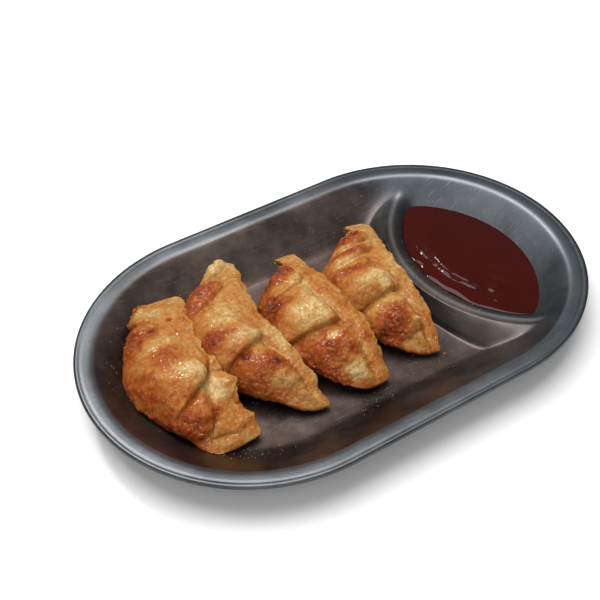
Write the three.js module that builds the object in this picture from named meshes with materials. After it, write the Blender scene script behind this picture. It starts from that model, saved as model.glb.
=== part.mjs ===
// Four fried gyoza and a pool of red dipping sauce, served in a pressed steel tray.
// Millimetres, +Z up. The origin is at the middle of the tray's flat underside.
// X runs along the tray, with the sauce well at the +X end. The gyoza lie side by side
// along X, each one roughly along Y, with its pleated side towards -X.
import * as THREE from 'three';

// Tray: a stadium outline, pressed from one sheet.
const trayLength = 225;
const trayWidth = 144;
const sheet = 0.6;
const trayDepth = 17;          // from the top of the floor to the top of the rim
const rimFlat = 7;             // flat rim, measured in to the corner of the wall
const lipDrop = 1.4;           // the outer edge is turned down by this much
const wallRun = 22;            // the wall's width in plan, rim corner to floor corner
const rimRounding = 1.2;
const floorRounding = 2.0;
const ridgeRounding = 2.5;

// Ridge: a curved divider pressed up across the tray, between dumplings and sauce.
const ridgeHeight = 10;        // above the floor
const ridgeCentre = 100.5;     // X of the crest's centre of curvature
const crestInner = 59.5;       // radius of the crest's edge on the sauce side
const crestOuter = 62.5;       // radius of its edge on the dumpling side
const footCentre = 160;        // X of the centre of the ridge's foot line, dumpling side
const footRadius = 125;
const shoulder = 12;           // sauce side falls as t * t / shoulder, then at 45 degrees

// Sauce: a pool in the well, up to this height above the floor, with a rounded edge.
const sauceLevel = 7.6;
const sauceDome = 0.8;
const sauceEdge = 0.15;        // thickness of its edge
const bedGap = 0.65;           // clearance to the steel under its edge
const bedLift = 0.8;           // and this much more under its middle
const gap = 0.45;              // clearance under a gyoza

const dough = 2.4;             // thickness of the sealed flange
const tipFullness = 0.05;      // share of the belly left where there is no filling
const creaseWidth = 0.045;     // half width of a crease, as a share of a gyoza's length

// Each gyoza is a crescent with a flat sealed flange along its top right edge. A list
// holds values at even steps along it, from the back tip (+Y) to the front tip (-Y).
//   back, front: the ends of the seam edge in plan      bow: how far it curves out to +X
//   seam: height of the seam edge                       flange: width of the sealed strip
//   belly, top: width and height of the filled body     blunt: how round its two ends are
//   bare: share of the length at the back tip that has no filling
//   folds: [place along it, depth, slant] of each crease on the pleated side
const gyozas = [
  { back: [-51, 49], front: [-57, -34], bow: [0, -1.5, -5.5, -3, 0], seam: [9, 17, 19, 14, 3],
    flange: [17, 11, 8, 10, 12], belly: [9, 22, 26, 26, 24], top: [20, 21, 24, 22, 19],
    blunt: [0.5, 0.4], bare: 0, folds: [[0.33, 0.1, -0.26], [0.69, 0.2, 0.19], [0.94, 0.1, 0.04]] },
  { back: [-22, 53], front: [-26.5, -34.5], bow: [0, -4, -7, -2, 0], seam: [11, 18, 19, 13, 2.5],
    flange: [6, 8, 10.5, 7, 4], belly: [20, 25, 24, 25, 24], top: [19, 20, 23, 21, 19],
    blunt: [0.6, 0.65], bare: 0.08,
    folds: [[0.27, 0.12, 0.25], [0.64, 0.2, 0.09], [0.86, 0.1, 0.05]] },
  { back: [5, 43], front: [1.5, -36.5], bow: [0, -1.5, 0, 2, 0], seam: [10, 17, 18.5, 14, 3],
    flange: [6, 8, 10, 8, 6.5], belly: [22, 27, 25, 26, 26], top: [20, 21, 23, 21, 18],
    blunt: [0.45, 0.55], bare: 0.1, folds: [[0.33, 0.12, 0.14], [0.73, 0.2, -0.12]] },
  { back: [43, 43], front: [28, -35], bow: [0, -1, -2, 1.5, 0], seam: [10, 17, 18, 13, 2.5],
    flange: [7, 8, 10.5, 7, 4], belly: [20, 25, 26, 27, 26], top: [20, 21, 22.5, 20, 18],
    blunt: [0.5, 0.6], bare: 0.09,
    folds: [[0.27, 0.12, 0.1], [0.38, 0.12, 0.1], [0.65, 0.2, 0.12], [0.88, 0.1, 0.08]] },
];

const clamp = (value, low, high) => Math.min(Math.max(value, low), high);
const mix = (a, b, share) => a + (b - a) * share;
const softMax = (a, b, round) => 0.5 * (a + b + Math.hypot(a - b, round));
const softMin = (a, b, round) => 0.5 * (a + b - Math.hypot(a - b, round));

// Catmull-Rom value between four neighbours, share 0 at b and 1 at c.
function cubic(a, b, c, d, share) {
  return 0.5 * (2 * b + (c - a) * share + (2 * a - 5 * b + 4 * c - d) * share ** 2
    + (3 * b - a - 3 * c + d) * share ** 3);
}

// Smooth value through a list at even steps, at a place from 0 to 1.
function along(values, place) {
  const last = values.length - 1;
  const index = clamp(Math.floor(place * last), 0, last - 1);
  const before = index > 0 ? values[index - 1] : 2 * values[0] - values[1];
  const after = index + 2 <= last ? values[index + 2] : 2 * values[last] - values[last - 1];
  return cubic(before, values[index], values[index + 1], after, place * last - index);
}

// ---- Tray surface: height above the underside at any place in plan ----

const rimZ = sheet + trayDepth;
const endRadius = trayWidth / 2;
const axisHalf = trayLength / 2 - endRadius;

// Distance in from the tray's outer edge.
function inset(x, y) {
  return endRadius - Math.hypot(Math.max(Math.abs(x) - axisHalf, 0), y);
}

function ridgeZ(x, y) {
  const fromCentre = Math.hypot(x - ridgeCentre, y);
  const toSauce = crestInner - fromCentre;
  if (toSauce > 0) {
    const straight = Math.max(toSauce - shoulder / 2, 0);
    const curved = toSauce - straight;
    return sheet + ridgeHeight - curved ** 2 / shoulder - straight;
  }
  const toDumplings = fromCentre - crestOuter;
  const toFoot = footRadius - Math.hypot(x - footCentre, y);
  if (toDumplings <= 0) return sheet + ridgeHeight;
  if (toFoot <= 0) return sheet;
  const rise = toFoot / (toFoot + toDumplings);
  return sheet + ridgeHeight * mix(rise, rise * rise * (3 - 2 * rise), 0.6);
}

function trayZ(x, y) {
  const wall = rimZ - (inset(x, y) - rimFlat) * trayDepth / wallRun;
  const pressed = softMax(wall, softMax(sheet, ridgeZ(x, y), 1), ridgeRounding);
  const floorSoft = softMax(wall, sheet, floorRounding);
  const lift = clamp((ridgeZ(x, y) - sheet) / 2, 0, 1);
  return softMin(rimZ, Math.max(sheet, mix(floorSoft, pressed, lift) - 0.1), rimRounding);
}

// The sheet is as thick across its slope as on the flat.
function underZ(x, y) {
  const step = 0.05;
  const slopeX = (trayZ(x + step, y) - trayZ(x - step, y)) / (2 * step);
  const slopeY = (trayZ(x, y + step) - trayZ(x, y - step)) / (2 * step);
  return Math.max(trayZ(x, y) - sheet * Math.hypot(1, slopeX, slopeY), 0);
}

// ---- Closed meshes ----

class Skin {
  constructor() {
    this.points = [];
    this.faces = [];
  }

  add(x, y, z) {
    this.points.push(x, y, z);
    return this.points.length / 3 - 1;
  }

  // Joins two closed loops of the same length; flip turns the faces the other way.
  band(outer, inner, flip) {
    for (let i = 0; i < outer.length; i++) {
      const next = (i + 1) % outer.length;
      this.face(outer[i], outer[next], inner[next], flip);
      this.face(outer[i], inner[next], inner[i], flip);
    }
  }

  face(a, b, c, flip) {
    this.faces.push(...(flip ? [a, c, b] : [a, b, c]));
  }

  // Fills a flat or nearly flat loop.
  fill(loop, flip) {
    const outline = loop.map((id) => new THREE.Vector2(this.points[3 * id], this.points[3 * id + 1]));
    for (const [a, b, c] of THREE.ShapeUtils.triangulateShape(outline, [])) {
      this.face(loop[a], loop[b], loop[c], flip);
    }
  }

  geometry() {
    const geometry = new THREE.BufferGeometry();
    geometry.setAttribute('position', new THREE.Float32BufferAttribute(this.points, 3));
    geometry.setIndex(this.faces);
    geometry.computeVertexNormals();
    return geometry;
  }
}

// ---- Tray ----

// A place on the stadium at a given inset, where turn runs 0 to 1 once round it
// anticlockwise, starting at the +X end.
function stadium(turn, depth) {
  const radius = endRadius - depth;
  const arc = Math.PI * radius;
  const total = 2 * arc + 4 * axisHalf;
  let run = ((turn % 1) + 1) % 1 * total;
  if (run < arc / 2) return [axisHalf + radius * Math.cos(run / radius), radius * Math.sin(run / radius)];
  run -= arc / 2;
  if (run < 2 * axisHalf) return [axisHalf - run, radius];
  run -= 2 * axisHalf;
  if (run < arc) return [-axisHalf - radius * Math.sin(run / radius), radius * Math.cos(run / radius)];
  run -= arc;
  if (run < 2 * axisHalf) return [-axisHalf + run, -radius];
  run -= 2 * axisHalf;
  return [axisHalf + radius * Math.sin(run / radius), -radius * Math.cos(run / radius)];
}

// Where a circle centred on the X axis crosses the stadium's +X end at an inset: the turn.
function crossing(centre, radius, depth) {
  let low = 0;
  let high = 0.5;
  for (let i = 0; i < 40; i++) {
    const middle = (low + high) / 2;
    const [x, y] = stadium(middle, depth);
    if (Math.hypot(x - centre, y) < radius) low = middle;
    else high = middle;
  }
  return low;
}

// Points along a circle centred on the X axis, between its crossings with the stadium,
// from +Y to -Y, without the two end points.
function ridgeLine(centre, radius, depth, count) {
  const [x, y] = stadium(crossing(centre, radius, depth), depth);
  const half = Math.atan2(y, centre - x);
  return Array.from({ length: count - 1 }, (_, i) => {
    const angle = half * (1 - 2 * (i + 1) / count);
    return [centre - radius * Math.cos(angle), radius * Math.sin(angle)];
  });
}

function stadiumPart(from, to, depth, count) {
  return Array.from({ length: count + 1 }, (_, i) => stadium(mix(from, to, i / count), depth));
}

function makeTray() {
  const skin = new Skin();
  const wallTop = rimFlat + 2;
  const wallFoot = rimFlat + wallRun;
  const roundLeft = 52;
  const roundWell = 24;
  const across = 24;
  const crestRadius = (crestInner + crestOuter) / 2;
  const wellFoot = crestInner - shoulder / 2 - (ridgeHeight - shoulder / 4);
  const crestTurn = crossing(ridgeCentre, crestRadius, wallTop);
  const footTurn = crossing(footCentre, footRadius, wallFoot);
  const wellTurn = crossing(ridgeCentre, wellFoot, wallFoot);

  // Loops in plan: the crest line joins two parts of the stadium into the dumplings'
  // compartment on the left and the well on the right.
  const crest = ridgeLine(ridgeCentre, crestRadius, wallTop, across);
  const leftWall = stadiumPart(crestTurn, 1 - crestTurn, wallTop, roundLeft);
  const wellWall = stadiumPart(-crestTurn, crestTurn, wallTop, roundWell);
  const leftOuter = [...leftWall, ...[...crest].reverse()];
  const wellOuter = [...wellWall, ...crest];
  const foot = ridgeLine(footCentre, footRadius, wallFoot, across);
  const leftInner = [...stadiumPart(footTurn, 1 - footTurn, wallFoot, roundLeft), ...foot.reverse()];
  const wellInner = [...stadiumPart(-wellTurn, wellTurn, wallFoot, roundWell),
    ...ridgeLine(ridgeCentre, wellFoot, wallFoot, across)];

  for (const [height, flip] of [[trayZ, false], [underZ, true]]) {
    const shared = new Map();
    const place = ([x, y]) => {
      const key = `${x.toFixed(5)},${y.toFixed(5)}`;
      if (!shared.has(key)) shared.set(key, skin.add(x, y, height(x, y)));
      return shared.get(key);
    };
    const compartment = (outer, inner, shares) => {
      let loop = outer.map(place);
      for (const share of shares) {
        const next = outer.map(([x, y], i) => (
          place([mix(x, inner[i][0], share), mix(y, inner[i][1], share)])));
        skin.band(loop, next, flip);
        loop = next;
      }
      skin.fill(loop, flip);
    };
    compartment(leftOuter, leftInner, [0.18, 0.5, 0.84, 1, 1.1]);
    compartment(wellOuter, wellInner, [0.25, 0.5, 0.75, 1]);

    // Rim, from the wall out to the edge.
    const ring = [...wellWall, ...leftWall.slice(1, -1)];
    const outward = (depth) => ring.map(([x, y]) => {
      const axis = clamp(x, -axisHalf, axisHalf);
      const scale = (endRadius - depth) / (endRadius - wallTop);
      return [axis + (x - axis) * scale, y * scale];
    });
    const rim = flip
      ? [[rimFlat + 0.4, null], [rimFlat - 1.2, null], [1.3, rimZ - sheet], [0.7, rimZ - lipDrop]]
      : [[rimFlat + 0.6, null], [rimFlat - 0.8, null], [0.5, rimZ], [0, rimZ - 0.4], [0, rimZ - lipDrop]];
    let loop = ring.map(place);
    for (const [depth, z] of rim) {
      const next = outward(depth).map(([x, y]) => skin.add(x, y, z ?? height(x, y)));
      skin.band(next, loop, flip);
      loop = next;
    }
    if (flip) skin.band(skin.edge, loop, true);
    else skin.edge = loop;
  }
  return skin.geometry();
}

// ---- Gyoza ----

// Height of the fold pattern at a place along the body, on the pleated side:
// 1 on top of a pleat, less in the crease between two.
function pleat(folds, place, down) {
  let height = 1;
  for (const [at, depth, slant] of folds) {
    const off = (place - at - slant * down) / creaseWidth;
    height -= depth * Math.exp(-off * off);
  }
  return height;
}

function makeGyoza({ back, front, bow, seam, flange, belly, top, blunt, bare, folds }) {
  const stations = 30;
  const around = 20;
  const skin = new Skin();
  const start = new THREE.Vector2(...back);
  const chord = new THREE.Vector2(...front).sub(start);
  const left = new THREE.Vector2(chord.y, -chord.x).normalize();
  const loops = [];
  for (let i = 0; i <= stations; i++) {
    const even = i / stations;
    const place = mix(even, 0.5 - 0.5 * Math.cos(Math.PI * even), 0.5);
    const rise = (run) => Math.max(1 - (1 - Math.min(2 * run, 1)) ** 2, 0);
    const filled = Math.max(place - bare, 0) / (1 - bare);
    const fullness = Math.max(rise(filled) ** blunt[0] * rise(1 - place) ** blunt[1], tipFullness);
    const strip = along(flange, place);
    const width = along(belly, place) * fullness;
    const seamZ = Math.max(along(seam, place), dough / 2);
    const rootZ = seamZ + 0.8 * fullness;
    const topZ = Math.max(along(top, place) * fullness ** 0.8, rootZ + dough / 2 + 0.5 * fullness);
    const underZ0 = (rootZ - dough / 2) * (1 - fullness);
    const edge = start.clone().addScaledVector(chord, place).addScaledVector(left, -along(bow, place));

    // The section, as [out from the seam edge, height], once round from the seam edge
    // over the pleats and the belly, along the floor and up the smooth back.
    const upper = rootZ + dough / 2;
    const shallow = pleat(folds, place, 0);
    const steep = pleat(folds, place, 1);
    const section = [
      [0, seamZ],
      [strip * 0.5, (seamZ + rootZ) / 2 + dough / 2],
      [strip, upper],
      [strip + 0.25 * width, mix(upper, topZ, 0.9 * shallow)],
      [strip + 0.68 * width * steep, 0.86 * topZ * fullness + (rootZ + dough * 0.3) * (1 - fullness)],
      [strip + width * steep, 0.45 * topZ * fullness + rootZ * (1 - fullness)],
      [strip + 0.86 * width, 0.08 * topZ * fullness + underZ0],
      [strip + 0.5 * width, underZ0],
      [strip + 0.08 * width, underZ0],
      [strip - 0.02 * width, underZ0 + 0.4 * topZ * fullness],
      [strip * 0.85, rootZ - dough / 2],
      [strip * 0.4, (seamZ + rootZ) / 2 - dough / 2],
    ];
    const corners = section.length;
    loops.push(Array.from({ length: around }, (_, k) => {
      const run = k / around * corners;
      const index = Math.floor(run);
      const [a, b, c, d] = [-1, 0, 1, 2].map((step) => section[(index + step + corners) % corners]);
      const out = cubic(a[0], b[0], c[0], d[0], run - index);
      const up = Math.max(cubic(a[1], b[1], c[1], d[1], run - index), 0);
      const at = edge.clone().addScaledVector(left, out);
      return skin.add(at.x, at.y, Math.max(sheet + up, trayZ(at.x, at.y)) + gap);
    }));
  }
  for (let i = 0; i < stations; i++) skin.band(loops[i], loops[i + 1], false);
  for (const [loop, flip] of [[loops[0], true], [loops[stations], false]]) {
    const middle = [0, 1, 2].map((axis) => (
      loop.reduce((sum, id) => sum + skin.points[3 * id + axis], 0) / loop.length));
    const centre = skin.add(...middle);
    loop.forEach((id, k) => skin.face(id, loop[(k + 1) % loop.length], centre, flip));
  }
  return skin.geometry();
}

// ---- Sauce ----

// The pool's top is level with a gently rounded edge; its underside follows the well.
function makeSauce() {
  const skin = new Skin();
  const middle = 70;
  const around = 44;
  const shares = [1, 0.97, 0.85, 0.6, 0.3];
  const shoreStep = 0.05;
  const level = sheet + sauceLevel;
  const bed = (x, y, share) => trayZ(x, y) + bedGap + bedLift * (1 - share);
  const shore = Array.from({ length: around }, (_, i) => {
    const angle = 2 * Math.PI * i / around;
    let reach = 0;
    while (bed(middle + reach * Math.cos(angle), reach * Math.sin(angle), 1) < level - sauceEdge) {
      reach += shoreStep;
    }
    return [reach * Math.cos(angle), reach * Math.sin(angle)];
  });
  const surface = (share) => (
    level - sauceEdge + (sauceEdge + sauceDome * (1 - share)) * Math.sqrt(1 - share ** 8));
  for (const [flip, height] of [[false, surface], [true, null]]) {
    let loop = null;
    for (const share of shares) {
      const next = share === 1 && flip ? skin.shore : shore.map(([x, y]) => {
        const at = [middle + x * share, y * share];
        return skin.add(...at, height ? height(share) : bed(...at, share));
      });
      if (loop) skin.band(loop, next, flip);
      else if (!flip) skin.shore = next;
      loop = next;
    }
    const centre = skin.add(middle, 0, height ? height(0) : bed(middle, 0, 0));
    loop.forEach((id, k) => skin.face(id, loop[(k + 1) % around], centre, flip));
  }
  return skin.geometry();
}

// ---- The whole dish ----

const steel = new THREE.MeshStandardMaterial({ color: 0x6d7072, roughness: 0.42, metalness: 1 });
const friedDough = new THREE.MeshStandardMaterial({ color: 0xb87a3c, roughness: 0.45, metalness: 0 });
const redSauce = new THREE.MeshStandardMaterial({ color: 0x5a0d08, roughness: 0.12, metalness: 0 });

const group = new THREE.Group();

function addPiece(name, geometry, material) {
  const mesh = new THREE.Mesh(geometry, material);
  mesh.name = name;
  group.add(mesh);
}

addPiece('tray', makeTray(), steel);
gyozas.forEach((sizes, i) => addPiece(`gyoza_${i + 1}`, makeGyoza(sizes), friedDough));
addPiece('dipping_sauce', makeSauce(), redSauce);

export default group;
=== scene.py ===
"""Four fried gyoza and a pool of red dipping sauce in a pressed steel tray.

Lengths in this script are in millimetres until a mesh is made, which turns them to metres.
The origin is at the middle of the tray's flat underside, with the sauce well at +X.
"""

import bmesh
import bpy
import numpy as np
from mathutils import Matrix, Vector


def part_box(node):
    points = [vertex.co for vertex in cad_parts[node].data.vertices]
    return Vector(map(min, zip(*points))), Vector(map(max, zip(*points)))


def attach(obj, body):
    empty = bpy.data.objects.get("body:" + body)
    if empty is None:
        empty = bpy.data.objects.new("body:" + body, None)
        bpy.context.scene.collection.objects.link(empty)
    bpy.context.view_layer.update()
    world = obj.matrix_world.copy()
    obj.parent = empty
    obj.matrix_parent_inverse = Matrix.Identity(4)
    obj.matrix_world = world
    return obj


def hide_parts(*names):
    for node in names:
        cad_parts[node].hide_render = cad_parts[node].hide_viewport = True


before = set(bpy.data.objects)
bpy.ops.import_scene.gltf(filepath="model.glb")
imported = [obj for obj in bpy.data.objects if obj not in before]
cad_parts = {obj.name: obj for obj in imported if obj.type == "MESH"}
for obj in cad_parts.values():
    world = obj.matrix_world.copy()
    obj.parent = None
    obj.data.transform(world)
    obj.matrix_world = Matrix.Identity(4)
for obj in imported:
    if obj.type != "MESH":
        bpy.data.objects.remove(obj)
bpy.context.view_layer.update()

# ---- The tray ----
# A snack tray pressed from one sheet of thin stainless steel: a flat rim with its edge
# turned down, sloping walls, and a curved ridge that parts the dumplings from the sauce.
# It is old and dull. Inside, its colour is darker and brown, a painted reflection of dark,
# warm surroundings; it is cooler and brighter on the rim.

MM = 0.001
half_length, end_radius, rim_top = np.array(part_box("tray")[1]) / MM
axis_half = half_length - end_radius
sheet = 0.6               # thickness of the steel
tray_depth = rim_top - sheet
rim_flat = 7.0            # flat rim, in to the corner of the wall
wall_run = 22.0           # width of the wall in plan
lip_drop = 1.4            # the outer edge is turned down this far
ridge_height = 10.0       # above the floor
ridge_centre = 100.5      # X of the crest's centre of curvature
crest_inner, crest_outer = 59.5, 62.5
foot_centre, foot_radius = 160.0, 125.0
shoulder = 12.0           # the sauce side falls as t * t / shoulder, then at 45 degrees
groove_inset, groove_width, groove_depth = 2.3, 0.35, 0.22    # pressed round the rim
wall_top = rim_flat + 2.0
wall_foot = rim_flat + wall_run


def mix(a, b, share):
    """The value that lies a share of the way from a to b."""
    return a + (b - a) * share


def soft_max(a, b, rounding):
    """The larger of two, blended by a hyperbola where they are close."""
    return 0.5 * (a + b + np.sqrt((a - b) ** 2 + rounding ** 2))


def soft_min(a, b, rounding):
    """The smaller of two, blended in the same way."""
    return 0.5 * (a + b - np.sqrt((a - b) ** 2 + rounding ** 2))


def ridge_z(x, y):
    """Height of the ridge: flat between two circles round one centre, a ramp from the outer
    one down to the foot circle, and a parabola then a 45 degree slope on the sauce side."""
    reach = np.hypot(x - ridge_centre, y)
    to_sauce = np.maximum(crest_inner - reach, 0)
    straight = np.maximum(to_sauce - shoulder / 2, 0)
    sauce_side = ridge_height - (to_sauce - straight) ** 2 / shoulder - straight
    outward = np.maximum(reach - crest_outer, 0)
    to_foot = np.maximum(foot_radius - np.hypot(x - foot_centre, y), 0)
    rise = to_foot / np.maximum(to_foot + outward, 1e-6)
    dumpling_side = ridge_height * mix(rise, rise * rise * (3 - 2 * rise), 0.6)
    return sheet + np.where(reach < crest_inner, sauce_side, dumpling_side)


def tray_z(x, y):
    """Height of the tray's upper face: the largest of the sloping wall, the floor and the
    ridge, cut off at the rim, with every corner rounded."""
    inset = end_radius - np.hypot(np.maximum(np.abs(x) - axis_half, 0), y)
    wall = rim_top - (inset - rim_flat) * tray_depth / wall_run
    ridge = ridge_z(x, y)
    pressed = soft_max(wall, soft_max(sheet, ridge, 1.0), 2.5)
    plain = soft_max(wall, sheet, 2.0)
    lift = np.clip((ridge - sheet) / 2, 0, 1)
    return soft_min(rim_top, np.maximum(sheet, mix(plain, pressed, lift) - 0.1), 1.2)


def under_z(x, y):
    """Height of the lower face, one sheet thickness below, measured square to the slope."""
    step = 0.05
    slope_x = (tray_z(x + step, y) - tray_z(x - step, y)) / (2 * step)
    slope_y = (tray_z(x, y + step) - tray_z(x, y - step)) / (2 * step)
    return np.maximum(tray_z(x, y) - sheet * np.sqrt(1 + slope_x ** 2 + slope_y ** 2), 0)


def stadium(turn, inset):
    """Points on the tray's outline, moved in by an inset: two straights and two half
    circles, with turn running 0 to 1 anticlockwise from the +X end."""
    radius = end_radius - inset
    arc = np.pi * radius
    run = np.mod(turn, 1) * (2 * arc + 4 * axis_half)
    back = run - arc / 2
    left = back - 2 * axis_half
    front = left - arc
    right = front - 2 * axis_half
    angle = run / radius
    x = axis_half + radius * np.cos(angle)
    y = radius * np.sin(angle)
    x = np.where(back > 0, axis_half - back, x)
    y = np.where(back > 0, radius, y)
    x = np.where(left > 0, -axis_half - radius * np.sin(left / radius), x)
    y = np.where(left > 0, radius * np.cos(left / radius), y)
    x = np.where(front > 0, -axis_half + front, x)
    y = np.where(front > 0, -radius, y)
    x = np.where(right > 0, axis_half + radius * np.sin(right / radius), x)
    y = np.where(right > 0, -radius * np.cos(right / radius), y)
    return np.stack([x, y], -1)


def crossing(centre, radius, inset):
    """The turn at which a circle centred on the X axis leaves the stadium."""
    turns = np.linspace(0, 0.5, 20001)
    points = stadium(turns, inset)
    return turns[np.argmax(np.hypot(points[:, 0] - centre, points[:, 1]) >= radius)]


def ridge_line(centre, radius, inset, count):
    """Points on a circle centred on the X axis, from +Y to -Y between its crossings."""
    end = stadium(np.array([crossing(centre, radius, inset)]), inset)[0]
    half = np.arctan2(end[1], centre - end[0])
    angle = half * (1 - 2 * np.arange(1, count) / count)
    return np.stack([centre - radius * np.cos(angle), radius * np.sin(angle)], -1)


def noise(points, size, seed):
    """Smooth random value from -1 to 1 at each point: random values on a cubic lattice of
    the given cell size, blended between the eight corners of the cell."""
    cell = np.asarray(points) / size + 1000.0
    corner = np.floor(cell).astype(np.int64)
    blend = cell - corner
    blend = blend * blend * (3 - 2 * blend)
    total = 0.0
    for step in np.ndindex(2, 2, 2):
        x, y, z = (corner[..., axis] + step[axis] for axis in range(3))
        key = x * 73856093 ^ y * 19349663 ^ z * 83492791 ^ seed * 2654435761
        key = key & 0xFFFFFFFF
        key = ((key ^ (key >> 16)) * 73244475) & 0xFFFFFFFF
        key = ((key ^ (key >> 16)) * 73244475) & 0xFFFFFFFF
        value = ((key ^ (key >> 16)) & 0xFFFF) / 32767.5 - 1
        share = 1.0
        for axis in range(3):
            share = share * (blend[..., axis] if step[axis] else 1 - blend[..., axis])
        total = total + value * share
    return total


def ease(value, start, end):
    """0 before start, 1 after end, smooth between."""
    share = np.clip((value - start) / (end - start), 0, 1)
    return share * share * (3 - 2 * share)


def band(value, start, full, waning, end):
    """0 before start, 1 from full to waning, and 0 again after end, smooth between."""
    return ease(value, start, full) * (1 - ease(value, waning, end))


def grid_faces(rows, columns, first=0, flip=False):
    """Quads between neighbouring rows of a grid whose columns run round and close."""
    row, column = np.meshgrid(np.arange(rows - 1), np.arange(columns), indexing="ij")
    beside = (column + 1) % columns
    corners = [row * columns + column, row * columns + beside,
               (row + 1) * columns + beside, (row + 1) * columns + column]
    quads = np.stack(corners[::-1] if flip else corners, -1).reshape(-1, 4)
    return quads + first


def add_piece(name, points, faces, material, weld=0.0, **values):
    """Makes a smooth mesh object from points in millimetres. A weld merges the points where
    two grids meet, and closes a pole. Each named value becomes a point attribute."""
    mesh = bpy.data.meshes.new(name)
    mesh.from_pydata((np.asarray(points) * MM).tolist(), [], np.asarray(faces).tolist())
    for label, numbers in values.items():
        layer = mesh.attributes.new(label, "FLOAT", "POINT")
        layer.data.foreach_set("value", np.ravel(numbers).astype(np.float32))
    if weld:
        work = bmesh.new()
        work.from_mesh(mesh)
        bmesh.ops.remove_doubles(work, verts=work.verts, dist=weld * MM)
        work.to_mesh(mesh)
        work.free()
    mesh.materials.append(material)
    mesh.polygons.foreach_set("use_smooth", np.ones(len(mesh.polygons), bool))
    piece = bpy.data.objects.new(name, mesh)
    bpy.context.scene.collection.objects.link(piece)
    return piece


def stack_grids(*grids):
    """One list of points and one of faces from several (rows, columns, 3) grids, each with
    True where its faces are turned over."""
    points, faces = [], []
    for grid, flip in grids:
        rows, columns = grid.shape[:2]
        faces.append(grid_faces(rows, columns, sum(map(len, points)), flip))
        points.append(grid.reshape(-1, 3))
    return np.concatenate(points), np.concatenate(faces)


def pressed_grid(outer, inner, centre, wall_rows, floor_rows, height):
    """A compartment: loops that move from the outer line to the inner one and a little
    past it, and then shrink to its centre, at the height of one face of the sheet."""
    past = 1.1
    share = (past * np.linspace(0, 1, wall_rows))[:, None, None]
    walls = mix(outer, inner, share)
    shrink = (np.linspace(1, 0, floor_rows + 1)[1:] ** 1.3)[:, None, None]
    floor = centre + (walls[-1] - centre) * shrink
    plan = np.concatenate([walls, floor])
    return np.concatenate([plan, height(plan[..., 0], plan[..., 1])[..., None]], -1)


def rim_grid(ring, under_rows, over_rows):
    """The rim as one band: outwards along the underside, round the turned-down lip, and
    back inwards over the top, each row the ring moved to an inset. Insets and heights are
    fixed round the lip, whose upper corner is a quarter circle."""
    lip_round = 0.5
    lip_root = 1.4
    lip_insets = [0.95, 0.62, sheet, 0.3, 0]    # down inside the lip, then under its edge
    lip_drops = np.array([0.12, 0.45])          # below the sheet, down inside the lip
    bend = np.linspace(0, np.pi / 2, 6)
    under = np.linspace(wall_top, lip_root, under_rows)
    over = mix(lip_round, wall_top, np.linspace(0, 1, over_rows)[1:] ** 0.8)
    inset = np.concatenate([under, lip_insets, lip_round * (1 - np.sin(bend)), over])
    fixed = np.concatenate([0 * under, rim_top - sheet - lip_drops,
                            np.repeat(rim_top - lip_drop, 3),
                            rim_top - lip_round * (1 - np.cos(bend))[::-1], 0 * over])
    scale = ((end_radius - inset) / (end_radius - wall_top))[:, None]
    axis = np.clip(ring[:, 0], -axis_half, axis_half)
    x = axis + (ring[:, 0] - axis) * scale
    y = ring[:, 1] * scale
    z = np.broadcast_to(fixed[:, None], x.shape).copy()
    z[:under_rows] = under_z(x[:under_rows], y[:under_rows])
    groove = groove_depth * np.exp(-((over - groove_inset) / groove_width) ** 2)
    z[-len(over):] = tray_z(x[-len(over):], y[-len(over):]) - groove[:, None]
    return np.stack([x, y, z], -1)


crest_radius = (crest_inner + crest_outer) / 2
well_foot = crest_inner - shoulder / 2 - (ridge_height - shoulder / 4)
crest_turn = crossing(ridge_centre, crest_radius, wall_top)
foot_turn = crossing(foot_centre, foot_radius, wall_foot)
well_turn = crossing(ridge_centre, well_foot, wall_foot)
dumpling_steps, well_steps, crest_steps = 281, 141, 120
crest = ridge_line(ridge_centre, crest_radius, wall_top, crest_steps)
wall_line = stadium(np.linspace(crest_turn, 1 - crest_turn, dumpling_steps), wall_top)
well_line = stadium(np.linspace(-crest_turn, crest_turn, well_steps), wall_top)
left_outer = np.concatenate([wall_line, crest[::-1]])
left_inner = np.concatenate([
    stadium(np.linspace(foot_turn, 1 - foot_turn, dumpling_steps), wall_foot),
    ridge_line(foot_centre, foot_radius, wall_foot, crest_steps)[::-1]])
well_outer = np.concatenate([well_line, crest])
well_inner = np.concatenate([
    stadium(np.linspace(-well_turn, well_turn, well_steps), wall_foot),
    ridge_line(ridge_centre, well_foot, wall_foot, crest_steps)])
left_centre, well_centre = np.array([-30.0, 0.0]), np.array([70.0, 0.0])


def new_material(name):
    """A material with its node tree, its Principled shader and a short way to add nodes."""
    material = bpy.data.materials.new(name)
    material.use_nodes = True
    tree = material.node_tree
    shader = tree.nodes["Principled BSDF"]

    def node(kind, inputs=(), **settings):
        """Adds a node. An input is a value, or a socket to link from."""
        made = tree.nodes.new(kind)
        for key, value in settings.items():
            setattr(made, key, value)
        for key, value in dict(inputs).items():
            if isinstance(value, bpy.types.NodeSocket):
                tree.links.new(value, made.inputs[key])
            else:
                made.inputs[key].default_value = value
        return made

    def link(output, target):
        tree.links.new(output, shader.inputs[target])

    return material, shader, node, link


def rgb(red, green, blue):
    """Linear colour from 0-255 screen values."""
    screen = np.array([red, green, blue]) / 255
    linear = np.where(screen < 0.04045, screen / 12.92, ((screen + 0.055) / 1.055) ** 2.4)
    return (*linear.tolist(), 1.0)


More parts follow.
